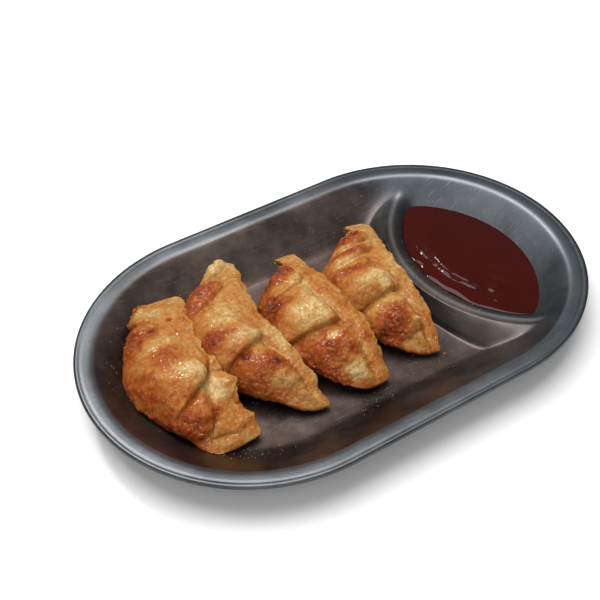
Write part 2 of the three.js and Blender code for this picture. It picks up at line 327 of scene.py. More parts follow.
def mottling_group():
    """Blotches that change over a surface. Start and End are the part of the noise that is
    used, and Lowest and Highest are the values it is spread between."""
    group = bpy.data.node_groups.new("mottling", "ShaderNodeTree")
    sockets = group.interface
    sockets.new_socket(name="Place", in_out="INPUT", socket_type="NodeSocketVector")
    for name, value in (("Fineness", 300.0), ("Detail", 2.0), ("Unevenness", 0.5),
                        ("Start", 0.0), ("End", 1.0), ("Lowest", 0.0), ("Highest", 1.0)):
        socket = sockets.new_socket(name=name, in_out="INPUT", socket_type="NodeSocketFloat")
        socket.default_value = value
    sockets.new_socket(name="Amount", in_out="OUTPUT", socket_type="NodeSocketFloat")
    entry = group.nodes.new("NodeGroupInput")
    blotches = group.nodes.new("ShaderNodeTexNoise")
    spread = group.nodes.new("ShaderNodeMapRange")
    result = group.nodes.new("NodeGroupOutput")
    for name, target, socket in (
            ("Place", blotches, "Vector"), ("Fineness", blotches, "Scale"),
            ("Detail", blotches, "Detail"), ("Unevenness", blotches, "Roughness"),
            ("Start", spread, "From Min"), ("End", spread, "From Max"),
            ("Lowest", spread, "To Min"), ("Highest", spread, "To Max")):
        group.links.new(entry.outputs[name], target.inputs[socket])
    group.links.new(blotches.outputs["Fac"], spread.inputs["Value"])
    group.links.new(spread.outputs["Result"], result.inputs["Amount"])
    return group


mottling = mottling_group()


def mottled(node, place, fineness, **values):
    """Places the mottling group in a material and returns its amount."""
    inputs = {"Place": place, "Fineness": fineness, **values}
    return node("ShaderNodeGroup", inputs, node_tree=mottling).outputs["Amount"]


def blended(node, share, first, second):
    """A colour that lies a share of the way from the first to the second."""
    inputs = {"Factor": share, "A": first, "B": second}
    return node("ShaderNodeMix", inputs, data_type="RGBA").outputs["Result"]


def roughened(node, height, strength, depth):
    """A normal for a surface with fine relief, its depth in millimetres."""
    inputs = {"Height": height, "Strength": strength, "Distance": depth * MM}
    return node("ShaderNodeBump", inputs).outputs["Normal"]


steel, shader, node, link = new_material("worn_steel")
place = node("ShaderNodeTexCoord").outputs["Object"]
rim = node("ShaderNodeAttribute", attribute_name="rim").outputs["Fac"]
# Where highlights are painted into the steel's colour, and its roughness lowered.
polish = node("ShaderNodeAttribute", attribute_name="polish").outputs["Fac"]
# Towards the sauce end: a cooler painted reflection inside, and painted shade on the rim.
clean = node("ShaderNodeAttribute", attribute_name="clean").outputs["Fac"]
cloud = mottled(node, place, 32.0, Detail=6.0, Unevenness=0.65, Start=0.3, End=0.7)
grain = mottled(node, place, 1100.0, Detail=3.0, Unevenness=0.7)
stretch = node("ShaderNodeMapping", {"Vector": place, "Rotation": (0.0, 0.0, 0.35),
                                     "Scale": (60.0, 1500.0, 300.0)})
scratch = node("ShaderNodeTexNoise", {"Vector": stretch.outputs["Vector"], "Scale": 1.0,
                                      "Detail": 2.0})
scratch_mask = node("ShaderNodeMapRange", {"Value": scratch.outputs["Fac"],
                                           "From Min": 0.6, "From Max": 0.72})
scratched_part = node("ShaderNodeMath", {0: scratch_mask.outputs["Result"], 1: 0.09},
                      operation="MULTIPLY").outputs[0]
# The inside colours are painted reflection: warm brown at the dumplings' end, darker cool
# grey at the sauce end.
warm_painted_reflection = blended(node, cloud, rgb(48, 39, 35), rgb(106, 92, 84))
cool_painted_reflection = blended(node, cloud, rgb(44, 46, 48), rgb(74, 77, 80))
inside = blended(node, clean, warm_painted_reflection, cool_painted_reflection)
rim_plain = blended(node, cloud, rgb(82, 84, 86), rgb(108, 111, 114))
# The rim goes darker towards the sauce end as painted shade.
rim_tint = blended(node, clean, rim_plain, rgb(84, 89, 93))
# Painted highlights in pale steel grey on the crest, the ridge's face and the rim's inner
# corner.
highlighted = blended(node, polish, blended(node, rim, inside, rim_tint), rgb(176, 180, 184))
link(blended(node, scratched_part, highlighted, rgb(170, 168, 166)), "Base Color")
shader.inputs["Metallic"].default_value = 0.9
dull = node("ShaderNodeMapRange", {"Value": cloud, "To Min": 0.3, "To Max": 0.46})
sheen = node("ShaderNodeMix", {"Factor": polish, "A": dull.outputs["Result"], "B": 0.24})
link(sheen.outputs["Result"], "Roughness")
link(roughened(node, grain, 0.16, 0.3), "Normal")

ring = np.concatenate([well_line, wall_line[1:-1]])
tray_points, tray_faces = stack_grids(
    (pressed_grid(left_outer, left_inner, left_centre, 34, 16, tray_z), False),
    (pressed_grid(well_outer, well_inner, well_centre, 32, 10, tray_z), False),
    (pressed_grid(left_outer, left_inner, left_centre, 12, 5, under_z), True),
    (pressed_grid(well_outer, well_inner, well_centre, 10, 3, under_z), True),
    (rim_grid(ring, 10, 22), False))
tray_x, tray_y, tray_height = tray_points.T
from_outline = end_radius - np.hypot(np.maximum(np.abs(tray_x) - axis_half, 0), tray_y)
from_ridge = np.hypot(tray_x - ridge_centre, tray_y)

# Painted highlights: the crest of the ridge, its face towards the dumplings and the corner
# between rim and wall are lightened in colour and made glossier. Towards the sauce end the
# inside turns a greyer, bluer painted reflection, and the rim is darkened there as painted
# shade.
crest_highlight = np.exp(-(from_ridge - crest_inner) ** 2) * band(tray_height, 8, 10, 11.2, 13)
face_painted_light = (band(from_ridge, crest_outer, crest_outer + 2, crest_outer + 7, crest_outer + 10)
           * band(tray_height, 2.5, 5, 10.5, 12.5) * (1 - ease(np.abs(tray_y), 24, 38)))
corner_highlight = np.exp(-((from_outline - rim_flat - 0.4) / 0.7) ** 2)
highlight_unevenness = 0.75 + 0.35 * noise(tray_points, 14, 901)
polished = highlight_unevenness * (0.5 * crest_highlight + 0.24 * corner_highlight + 0.42 * face_painted_light)
on_rim = 1 - ease(from_outline, rim_flat - 0.6, rim_flat + 1.2)
# Share of the sauce end's painted reflection and shade, rising from X 25 to 75 with a wavy
# border.
cleaner = ease(tray_x + 12 * noise(tray_points, 30, 902), 25, 75)
tray = add_piece("steel_tray", tray_points, tray_faces, steel, weld=0.004, rim=on_rim,
                 polish=np.clip(polished, 0, 1), clean=cleaner)
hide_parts("tray")
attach(tray, "root")


# ---- The sauce ----
# A pool of thick sweet chilli sauce, spooned into the well. It domes a little, and it
# stands with a rounded, wavy edge against the steel.

sauce_level = 7.6         # above the floor, at its edge
sauce_dome = 0.8
sauce_turns, sauce_rows = 480, 101
edge_round, ridge_round = 1.6, 4.0    # width of the rounded edge, and of that by the ridge
ridge_rise, rise_run = 0.5, 14.0      # how much higher it stands along the ridge, over this
gap = 0.1                 # between the sauce and the steel
wrinkle_start, wrinkle_bend = 54.7, 0.0107    # X of the first wrinkle, and its curve
# Two wrinkles that the spoon left, side by side: seed, offset, height and half width.
WRINKLES = ((911, 0.0, 0.56, 1.3), (931, 2.2, 0.34, 0.8))
# Soft lumps: X, Y, half width and height.
LUMPS = ((69.5, -19.5, 2.6, 0.5), (65.0, -22.5, 2.2, 0.5), (62.5, -27.5, 1.6, 0.35),
         (74.0, -14.5, 2.0, 0.3))


def sauce_shore(angle):
    """How far from the well's middle the steel rises through the sauce's level."""
    reach = np.linspace(10, 60, 1001)
    x = well_centre[0] + reach * np.cos(angle)[:, None]
    y = reach * np.sin(angle)[:, None]
    over = tray_z(x, y) - sheet - sauce_level
    index = np.argmax(over > 0, 1)
    row = np.arange(len(angle))
    below, above = over[row, index - 1], over[row, index]
    return reach[index - 1] + (reach[1] - reach[0]) * -below / (above - below)


angle = np.linspace(0, 2 * np.pi, sauce_turns, endpoint=False)
to_ridge = np.clip(-np.cos(angle), 0, 1) ** 0.7
uneven = 0.35 * np.sin(7 * angle + 0.6) + 0.2 * np.sin(13 * angle + 2)
shore = sauce_shore(angle) - to_ridge * (0.5 + uneven) - gap
share = 1 - np.linspace(1, 0, sauce_rows) ** 1.5
sauce_x = well_centre[0] + shore * share[:, None] * np.cos(angle)
sauce_y = shore * share[:, None] * np.sin(angle)
from_shore = shore * (1 - share[:, None])
from_edge = np.clip(from_shore / mix(edge_round, ridge_round, to_ridge), 0, 1)
edge_z = tray_z(sauce_x[-1], sauce_y[-1]) + gap
standing = sheet + sauce_level - edge_z + ridge_rise * to_ridge
round_off = 1 - np.sqrt(1 - (1 - from_edge) ** 2)
sauce_z = (sheet + sauce_level + ridge_rise * to_ridge * (1 - ease(from_shore, 0, rise_run))
           + sauce_dome * (1 - share[:, None] ** 2) - standing * round_off)
flat_xy = np.stack([sauce_x, sauce_y, 0 * sauce_x], -1)

# The wrinkles follow the ridge and bend away from it, as a parabola, towards the front.
wrinkle_x = wrinkle_start + wrinkle_bend * np.clip(3 - sauce_y, 0, None) ** 2
on_wrinkle = 1 - ease(np.abs(sauce_y - 1), 16, 21)
for seed, offset, height, reach in WRINKLES:
    line = wrinkle_x + offset + 0.9 * noise(flat_xy, 6, seed)
    line = line + 0.3 * noise(flat_xy, 2.2, seed + 1)
    broken = np.clip(0.92 + 0.55 * noise(flat_xy, 3.5, seed + 2), 0, 1.2)
    ripple_z = height * np.clip(1 - np.abs(sauce_x - line) / reach, 0, 1)
    sauce_z = sauce_z + ripple_z * broken * on_wrinkle
for spot_x, spot_y, across, height in LUMPS:
    lump = np.hypot((sauce_x - spot_x) / across, (sauce_y - spot_y) / (1.6 * across))
    lump = lump + 0.3 * noise(flat_xy, 2.5, 915)
    sauce_z = sauce_z + height * np.exp(-lump ** 2)
sauce_z = sauce_z + 0.06 * noise(flat_xy, 7, 914) * from_edge
bed_z = np.minimum(tray_z(sauce_x, sauce_y) + gap, sauce_z)

# The bed takes every fourth row, the last one at the middle, so that it closes.
sauce_top = np.stack([sauce_x, sauce_y, sauce_z], -1)[::-1]
sauce_bed = np.stack([sauce_x, sauce_y, bed_z], -1)[::-1][::4]
sauce_bed = np.concatenate([sauce_top[:1], sauce_bed[1:]])

chilli, shader, node, link = new_material("red_sauce")
place = node("ShaderNodeTexCoord").outputs["Object"]
pulp = mottled(node, place, 60.0, Detail=4.0)
link(blended(node, pulp, rgb(44, 5, 2), rgb(60, 8, 3)), "Base Color")
shader.inputs["Roughness"].default_value = 0.1
shader.inputs["Specular IOR Level"].default_value = 0.2
link(roughened(node, pulp, 0.1, 0.6), "Normal")
sauce = add_piece("chilli_sauce", *stack_grids((sauce_top, False), (sauce_bed, True)),
                  chilli, weld=0.002)
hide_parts("dipping_sauce")
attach(sauce, "root")


# ---- The gyoza ----
# Four crescents of thin wheat dough folded over a filling, pleated along one side and
# pinched into a flat seam, then fried until the bulges brown. No two are alike.

# A list holds values at even steps along a gyoza, from its back tip to its front tip.
#   back, front: ends of the seam edge in plan      bow: how far it curves out to +X
#   seam: height of the seam edge                   strip: width of the pinched seam
#   belly, top: width and height of the filling     blunt: how round the two ends are
#   bare: share of the length at each end that has no filling
#   cut: how far the front end's seam corner is cut back, per millimetre across
#   folds: place, slant, curve, where it starts and ends down the side, depth
#   bumps: place, down, reach along, reach down, height
#   toast: place, down, reach along, reach down, brownness, strength
# Down runs 0 where the seam meets the filling to 1 at the floor on the pleated side, and
# below 0 on the seam. Brownness runs 0 for pale dough to 1 for burnt.
GYOZAS = {
    "gyoza_crescent": dict(
        node="gyoza_1", back=(-51, 49), front=(-57, -34), bow=(0, -1.5, -5.5, -3, 0),
        seam=(9, 17, 19, 14, 3), strip=(17, 11, 8, 9, 21), belly=(9, 22, 26, 26, 10),
        top=(20, 21, 24, 22, 18), blunt=(0.5, 0.62), bare=(0.0, 0.015), cut=0.12,
        folds=((0.34, -0.28, 0.0, 0.22, 0.85, 2.2), (0.702, 0.25, -0.13, -0.3, 0.62, 3.4),
               (0.94, -0.05, 0.0, -0.3, 0.8, 1.6), (0.5, -0.2, 0.0, 0.2, 0.55, 0.8)),
        bumps=((0.25, 0.5, 0.06, 0.2, 1.4), (0.66, 0.15, 0.06, 0.25, 1.2),
               (0.84, 0.42, 0.06, 0.34, 3.0), (0.2, -0.25, 0.05, 0.2, 0.6),
               (0.74, -0.2, 0.035, 0.15, 1.0), (0.45, 0.3, 0.025, 0.2, 0.7),
               (0.26, -0.04, 0.012, 0.05, -0.8), (0.12, 0.0, 0.04, 0.15, -0.6),
               (0.61, -0.5, 0.035, 0.2, 1.6), (0.675, -0.5, 0.012, 0.2, -1.4),
               (0.74, -0.5, 0.035, 0.2, 1.8), (0.815, -0.5, 0.018, 0.2, -1.6),
               (0.91, -0.5, 0.03, 0.2, 1.6)),
        toast=((0.5, 0.85, 0.6, 0.3, 0.7, 0.8), (0.31, 0.45, 0.07, 0.16, 0.82, 1.0),
               (0.2, 0.62, 0.06, 0.16, 0.74, 0.9), (0.54, 0.3, 0.07, 0.12, 0.7, 0.9),
               (0.66, 0.16, 0.05, 0.18, 0.06, 1.0), (0.44, 0.3, 0.035, 0.2, 0.14, 1.0),
               (0.6, 0.55, 0.09, 0.14, 0.62, 0.8), (0.76, 0.5, 0.03, 0.2, 0.5, 0.7),
               (0.85, 0.05, 0.035, 0.16, 0.78, 0.9), (0.745, -0.1, 0.05, 0.2, 0.04, 1.0),
               (0.85, 0.48, 0.065, 0.34, 0.8, 1.0), (0.26, -0.04, 0.014, 0.05, 0.85, 1.0),
               (0.12, 0.25, 0.09, 0.3, 0.12, 0.9), (0.27, -0.3, 0.06, 0.12, 0.5, 0.7),
               (1.0, 0.1, 0.045, 0.9, 0.3, 1.0), (0.36, 0.1, 0.06, 0.1, 0.34, 0.8))),
    "gyoza_knobbed": dict(
        node="gyoza_2", back=(-22, 53), front=(-26.5, -34.5), bow=(0, -4, -7, -2, 0),
        seam=(11, 18, 19, 13, 2.5), strip=(9, 8, 10.5, 7, 4), belly=(6, 25, 24, 25, 24),
        top=(17, 20, 23, 21, 19), blunt=(0.35, 0.65), bare=(0.0, 0.0), cut=0.0,
        folds=((0.25, 0.25, 0.0, 0.1, 0.6, 1.6), (0.637, 0.1, 0.0, -0.15, 0.7, 3.0),
               (0.115, 0.1, 0.0, -0.3, 0.5, 2.2), (0.88, 0.05, 0.0, 0.0, 0.5, 0.9)),
        bumps=((0.06, -0.1, 0.04, 0.35, 3.2), (0.25, 0.42, 0.07, 0.25, 2.0),
               (0.5, 0.24, 0.09, 0.25, 1.6), (0.77, 0.42, 0.07, 0.26, 2.4),
               (0.17, 2.1, 0.06, 0.3, 3.4), (0.7, -0.05, 0.05, 0.05, -0.8),
               (0.78, 0.0, 0.18, 0.06, -0.7)),
        toast=((0.4, 0.8, 0.5, 0.25, 0.66, 0.8), (0.06, -0.05, 0.06, 0.5, 0.0, 1.0),
               (0.26, 0.4, 0.07, 0.2, 0.78, 1.0), (0.47, 0.2, 0.08, 0.16, 0.08, 1.0),
               (0.57, 0.44, 0.05, 0.16, 0.8, 1.0), (0.62, 0.22, 0.035, 0.2, 0.06, 0.9),
               (0.63, 0.5, 0.03, 0.16, 0.3, 0.7), (0.765, 0.42, 0.08, 0.3, 0.76, 1.0),
               (0.7, 0.42, 0.016, 0.05, 0.95, 0.9), (0.79, 0.28, 0.022, 0.06, 0.92, 0.9),
               (0.86, 0.34, 0.045, 0.16, 0.14, 0.9), (0.92, 0.4, 0.016, 0.05, 0.66, 0.9),
               (0.67, -0.1, 0.06, 0.08, 0.16, 0.8), (0.18, 2.1, 0.07, 0.35, 0.64, 0.9),
               (0.95, 0.3, 0.05, 0.5, 0.28, 0.8))),
    "gyoza_winged": dict(
        node="gyoza_3", back=(5, 43), front=(1.5, -36.5), bow=(0, -1.5, 0, 2, 0),
        seam=(10, 17, 18.5, 14, 3), strip=(10, 8, 10, 8, 6.5), belly=(18, 27, 25, 26, 26),
        top=(13, 20, 23, 21, 18), blunt=(0.7, 0.55), bare=(0.12, 0.0), cut=0.15,
        folds=((0.33, 0.14, 0.0, 0.05, 0.7, 2.0), (0.665, 0.18, -0.33, 0.1, 0.8, 3.0),
               (0.22, 0.1, 0.0, 0.0, 0.3, 1.2)),
        bumps=((0.3, -0.04, 0.025, 0.12, 2.2), (0.24, 0.4, 0.06, 0.2, 1.8),
               (0.38, 0.36, 0.025, 0.25, 0.9), (0.44, 0.55, 0.05, 0.16, 1.2),
               (0.58, 0.28, 0.08, 0.25, 1.4), (0.81, 0.42, 0.07, 0.28, 2.2),
               (0.74, 0.08, 0.05, 0.06, -0.8), (0.62, 0.0, 0.28, 0.06, -1.0)),
        toast=((0.4, 0.85, 0.5, 0.25, 0.66, 0.8), (0.2, 0.36, 0.08, 0.26, 0.84, 1.0),
               (0.35, 0.12, 0.035, 0.16, 0.14, 1.0), (0.385, 0.38, 0.025, 0.18, 0.34, 0.9),
               (0.43, 0.54, 0.07, 0.18, 0.84, 1.0), (0.57, 0.3, 0.08, 0.17, 0.1, 1.0),
               (0.62, 0.5, 0.03, 0.12, 0.28, 0.8), (0.8, 0.44, 0.065, 0.24, 0.76, 1.0),
               (0.745, 0.34, 0.02, 0.06, 0.0, 1.0), (0.84, 0.28, 0.03, 0.07, 0.88, 0.9),
               (0.925, 0.38, 0.04, 0.2, 0.0, 1.0), (0.81, 0.72, 0.1, 0.14, 0.82, 0.9),
               (0.46, 0.04, 0.06, 0.06, 0.12, 0.9), (0.64, -0.25, 0.3, 0.2, 0.46, 0.9))),
    "gyoza_striped": dict(
        node="gyoza_4", back=(43, 43), front=(28, -35), bow=(0, -1, -2, 1.5, 0),
        seam=(10, 17, 18, 13, 2.5), strip=(10.5, 8, 10.5, 7, 4), belly=(18, 25, 26, 27, 26),
        top=(13, 20, 22.5, 20, 18), blunt=(0.7, 0.6), bare=(0.1, 0.0), cut=0.0,
        folds=((0.27, 0.1, 0.0, -0.1, 0.65, 1.8), (0.37, 0.1, 0.0, -0.1, 0.7, 2.0),
               (0.655, 0.1, 0.0, -0.1, 0.78, 3.0), (0.9, 0.06, 0.0, 0.1, 0.5, 1.4),
               (0.47, 0.1, 0.0, 0.1, 0.6, 0.9)),
        bumps=((0.22, 0.3, 0.04, 0.25, 1.0), (0.33, 0.25, 0.03, 0.3, 0.8),
               (0.58, 0.25, 0.07, 0.3, 1.6), (0.82, 0.42, 0.06, 0.28, 2.2),
               (0.865, 0.2, 0.018, 0.08, 1.4), (0.735, 0.25, 0.02, 0.14, 0.8),
               (0.65, 0.0, 0.28, 0.06, -0.7)),
        toast=((0.4, 0.85, 0.5, 0.25, 0.68, 0.8), (0.23, 0.34, 0.05, 0.26, 0.84, 1.0),
               (0.3, 0.2, 0.017, 0.2, 0.1, 1.0), (0.345, 0.34, 0.022, 0.2, 0.78, 1.0),
               (0.4, 0.24, 0.022, 0.26, 0.14, 1.0), (0.49, 0.4, 0.035, 0.24, 0.76, 1.0),
               (0.6, 0.18, 0.05, 0.2, 0.08, 1.0), (0.63, 0.5, 0.03, 0.14, 0.4, 0.8),
               (0.735, 0.28, 0.018, 0.12, 0.08, 1.0), (0.82, 0.46, 0.06, 0.22, 0.84, 1.0),
               (0.79, 0.06, 0.02, 0.05, 0.8, 0.9), (0.865, 0.2, 0.02, 0.06, 0.1, 1.0),
               (0.12, 0.1, 0.07, 0.3, 0.24, 0.8), (0.95, 0.4, 0.03, 0.3, 0.24, 0.9))),
}
DOUGH = 2.4               # thickness of the pinched seam
CLEAR = 0.25              # clearance to the tray
BLUNT_TIP = 2.4           # each end closes over this length
TIP_FADE = 5.0            # and its relief fades out over this one
PLAIN_BROWN = 0.32        # brownness of the dough between the spots
GYOZA_ROWS, GYOZA_COLUMNS = 290, 216
SECTION_CORNERS = 12


def cubic(a, b, c, d, share):
    """Catmull-Rom value between b and c, share 0 at b and 1 at c."""
    return 0.5 * (2 * b + (c - a) * share + (2 * a - 5 * b + 4 * c - d) * share ** 2
                  + (3 * b - a - 3 * c + d) * share ** 3)


def along(values, place):
    """Smooth curve through a list at even steps, read at places from 0 to 1."""
    knots = np.asarray(values, float)
    last = len(knots) - 1
    knots = np.concatenate([[2 * knots[0] - knots[1]], knots, [2 * knots[-1] - knots[-2]]])
    index = np.minimum((place * last).astype(int), last - 1)
    return cubic(*(knots[index + step] for step in range(4)), place * last - index)


def gyoza_body(rows, columns, back, front, bow, seam, strip, belly, top, blunt, bare, cut,
               **details):
    """A gyoza as a function of its place along the length (rows) and round its section
    (columns). The section is a closed Catmull-Rom curve through twelve corners: out from
    the seam edge over the strip, the pleats and the belly, along the floor, and up the
    smooth back. The belly's width and height follow a rounded envelope along the length,
    and each end closes in a blunt curve, to a point. The details are left to a later step."""
    even = np.linspace(0, 1, rows)
    place = mix(even, 0.5 - 0.5 * np.cos(np.pi * even), 0.5)

    def rise(run):
        return np.maximum(1 - (1 - np.minimum(2 * run, 1)) ** 2, 0)

    from_back = np.maximum(place - bare[0], 0) / (1 - bare[0])
    from_front = np.maximum(1 - place - bare[1], 0) / (1 - bare[1])
    full = rise(from_back) ** blunt[0] * rise(from_front) ** blunt[1]
    flat = along(strip, place)
    width = along(belly, place) * full
    seam_z = np.maximum(along(seam, place), DOUGH / 2)
    root_z = seam_z + 0.8 * full
    top_z = np.maximum(along(top, place) * full ** 0.8, root_z + DOUGH / 2 + 0.5 * full)
    under = (root_z - DOUGH / 2) * (1 - full)
    upper = root_z + DOUGH / 2
    out = np.stack([0 * place, 0.5 * flat, flat, flat + 0.25 * width, flat + 0.68 * width,
                    flat + width, flat + 0.86 * width, flat + 0.5 * width,
                    flat + 0.08 * width, flat - 0.02 * width, 0.85 * flat, 0.4 * flat])
    up = np.stack([seam_z, (seam_z + upper) / 2 + DOUGH / 4, upper, mix(upper, top_z, 0.9),
                   0.86 * top_z * full + (root_z + 0.3 * DOUGH) * (1 - full),
                   0.45 * top_z * full + root_z * (1 - full),
                   0.08 * top_z * full + under, under, under, under + 0.4 * top_z * full,
                   root_z - DOUGH / 2, (seam_z + root_z) / 2 - DOUGH / 2])

    round_it = np.arange(columns) / columns
    run = round_it * SECTION_CORNERS
    index = run.astype(int)
    share = (run - index)[:, None]
    steps = [(index + step) % SECTION_CORNERS for step in (-1, 0, 1, 2)]
    outward = cubic(*(out[step] for step in steps), share).T
    height = cubic(*(up[step] for step in steps), share).T

    start, end = np.array(back, float), np.array(front, float)
    length = np.hypot(*(end - start))
    chord = (end - start) / length
    left = np.array([chord[1], -chord[0]])

    near = np.clip(np.minimum(place, 1 - place) * length / BLUNT_TIP, 0, 1)[:, None]
    middle = (outward.max(1) + outward.min(1))[:, None] / 2
    level = height.mean(1)[:, None]
    outward = middle + (outward - middle) * (1 - (1 - near) ** 4) ** 0.25
    height = level + (height - level) * np.sqrt(1 - (1 - near) ** 2)
    shift = (middle - outward) * cut * ease(place, 0.8, 1)[:, None]
    edge = start + chord * place[:, None] * length - left * along(bow, place)[:, None]
    plan = edge[:, None] + left * outward[..., None] - chord * shift[..., None]
    points = np.concatenate([plan, height[..., None] + sheet], -1)
    grid_place = np.broadcast_to(place[:, None], points.shape[:2])
    grid_round = np.broadcast_to(round_it, points.shape[:2])
    return points, grid_place, grid_round


def outward_normals(points):
    """Unit normals of a grid that closes round its columns: along the rows crossed with
    round the columns."""
    rows = np.gradient(points, axis=0)
    columns = (np.roll(points, -1, 1) - np.roll(points, 1, 1)) / 2
    normal = np.cross(columns, rows)
    return normal / np.maximum(np.linalg.norm(normal, axis=-1, keepdims=True), 1e-9)


def spot_reach(place, down, spot_place, spot_down, reach_along, reach_down):
    """Distance from a spot's middle, as a share of its reach along and down. Down closes
    round the section after 3, so a spot on the seam edge wraps over it."""
    over = (down - spot_down + 1.5) % 3 - 1.5
    return np.hypot((place - spot_place) / reach_along, over / reach_down)


def fold_relief(place, down, folds, wander):
    """Height of the pleats: the dough swells behind each fold, drops at it, and starts
    again lower in front, with a narrow groove at the fold itself."""
    relief = 0.0
    for at, slant, curve, first, last, depth in folds:
        off = place - at - slant * down - curve * down ** 2 + wander
        fade = band(down, first - 0.08, first + 0.08, last - 0.2, last + 0.1)
        behind = 1 / (1 + np.exp(np.clip(off / 0.0035, -40, 40)))
        swell = np.exp(-np.abs(off) / 0.12) - np.exp(-np.abs(off) / 0.022)
        drop = 0.5 * np.exp(-np.abs(off) / 0.035)
        groove = 0.3 * np.exp(-(off / 0.007) ** 2)
        relief = relief + fade * depth * (behind * swell - (1 - behind) * drop - groove)
    return relief


def fried_gyoza(seed, shape):
    """The finished surface and its brownness: the plain body pushed out along its normals
    by the pleats, the bumps, lumps of filling, blisters, and the wavy pinched edge."""
    points, place, round_it = gyoza_body(GYOZA_ROWS, GYOZA_COLUMNS, **shape)
    down = round_it * 3 - 0.5
    length = np.hypot(*(np.array(shape["front"]) - np.array(shape["back"])))
    pleated = band(down, -0.5, -0.1, 0.85, 1.05)
    from_edge = np.minimum(round_it, 1 - round_it) * SECTION_CORNERS
    at_edge = np.exp(-(from_edge / 0.9) ** 2)
    near_tip = ease(np.minimum(place, 1 - place) * length, 0, TIP_FADE)

    wander = 0.01 * noise(points, 9, seed)
    push = pleated * fold_relief(place, down, shape["folds"], wander)
    for *spot, height in shape["bumps"]:
        push = push + height * np.exp(-spot_reach(place + wander, down, *spot) ** 2)
    wrinkle = np.abs(noise(points, 11, seed + 2)) + 0.4 * np.abs(noise(points, 5, seed + 3))
    rough = 1 - 0.65 * pleated * (1 - ease(down, -0.2, 0.0))
    lumps = mix(0.5, 1.3, pleated) * (wrinkle - 0.5) + 0.42 * noise(points, 3.1, seed + 13)
    push = push + rough * lumps

    brown = PLAIN_BROWN + 0.16 * noise(points, 11, seed + 4) + 0.22 * ease(down, 0.35, 0.7)
    brown = brown - 0.06 * at_edge
    ragged = 0.35 * noise(points, 5, seed + 5) + 0.2 * noise(points, 2.2, seed + 14)
    for *spot, brownness, strength in shape["toast"]:
        reach = spot_reach(place, down, *spot) + ragged
        brown = mix(brown, brownness, strength * (1 - ease(reach, 0.35, 1.7)))
    brown = brown + 0.12 * noise(points, 4, seed + 6) + 0.13 * noise(points, 1.7, seed + 7)

    crisp = ease(brown, 0.4, 0.75)
    blister = np.abs(noise(points, 1.9, seed + 8))
    blister = blister + 0.5 * np.abs(noise(points, 1.1, seed + 9))
    push = push + mix(0.32, 0.7, crisp) * mix(0.5, 1, pleated) * rough * blister
    points = points + outward_normals(points) * (push * near_tip)[..., None]

    frill = at_edge * near_tip
    side = np.stack([noise(points, 5.5, seed + 10), noise(points, 6.5, seed + 11),
                     noise(points, 7, seed + 12)], -1)
    torn = np.stack([noise(points, 1.8, seed + 15), noise(points, 1.6, seed + 16),
                     noise(points, 1.4, seed + 17)], -1)
    points = points + frill[..., None] * (side * (1.2, 0.5, 1.0) + 0.5 * torn)
    resting = tray_z(points[..., 0], points[..., 1]) + CLEAR
    points[..., 2] = np.maximum(points[..., 2], resting)
    return points, np.clip(brown, 0, 1)


dough, shader, node, link = new_material("fried_dough")
place = node("ShaderNodeTexCoord").outputs["Object"]
fry = node("ShaderNodeAttribute", attribute_name="fry").outputs["Fac"]
mottle = mottled(node, place, 700.0, Detail=4.0, Unevenness=0.65)
spread = node("ShaderNodeMath", {0: mottle, 1: -0.5}, operation="ADD")
vary = node("ShaderNodeMath", {0: spread.outputs[0], 1: 0.8, 2: fry},
            operation="MULTIPLY_ADD")
ramp = node("ShaderNodeValToRGB", {"Fac": vary.outputs[0]})
stops = [(0.0, (190, 161, 109)), (0.15, (170, 128, 72)), (0.35, (164, 105, 46)),
         (0.55, (148, 80, 29)), (0.75, (136, 58, 17)), (0.9, (108, 43, 14)),
         (1.0, (66, 28, 12))]
while len(ramp.color_ramp.elements) < len(stops):
    ramp.color_ramp.elements.new(0.5)
for stop, (at, colour) in zip(ramp.color_ramp.elements, stops):
    stop.position = at
    stop.color = rgb(*colour)
link(ramp.outputs["Color"], "Base Color")
greasy = mottled(node, place, 700.0, Detail=4.0, Unevenness=0.65, Start=0.4, End=0.6,
                 Lowest=0.34, Highest=0.7)
link(greasy, "Roughness")
link(roughened(node, mottle, 0.9, 0.6), "Normal")
shader.inputs["Specular IOR Level"].default_value = 0.13
oil_spots = mottled(node, place, 1000.0, Detail=1.0, Start=0.55, End=0.64, Highest=0.8)
link(oil_spots, "Coat Weight")
shader.inputs["Coat Roughness"].default_value = 0.12

gyoza_skins = []
for number, (name, shape) in enumerate(GYOZAS.items()):
    gyoza_points, fry_values = fried_gyoza(20 * number + 3, shape)
    gyoza_skins.append((gyoza_points, outward_normals(gyoza_points), fry_values))
    faces = grid_faces(GYOZA_ROWS, GYOZA_COLUMNS)
    gyoza = add_piece(name, gyoza_points.reshape(-1, 3), faces, dough, weld=0.002,
                      fry=fry_values)
    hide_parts(shape["node"])
    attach(gyoza, "root")


# ---- The crumbs ----
# Grains of fried flour and dried oil that lie on the steel: patches of pale dust on the
# floor and the back wall of the dumplings' side, a few browned crumbs in front of the gyoza,
# and one crumb at the last gyoza's front tip.

GRAIN_POINTS = np.array([[1, 0, 0], [0, 1, 0], [-1, 0, 0], [0, -1, 0], [0, 0, 1],
                         [0, 0, -0.6]])
GRAIN_FACES = np.array([[0, 1, 4], [1, 2, 4], [2, 3, 4], [3, 0, 4],
                        [1, 0, 5], [2, 1, 5], [3, 2, 5], [0, 3, 5]])


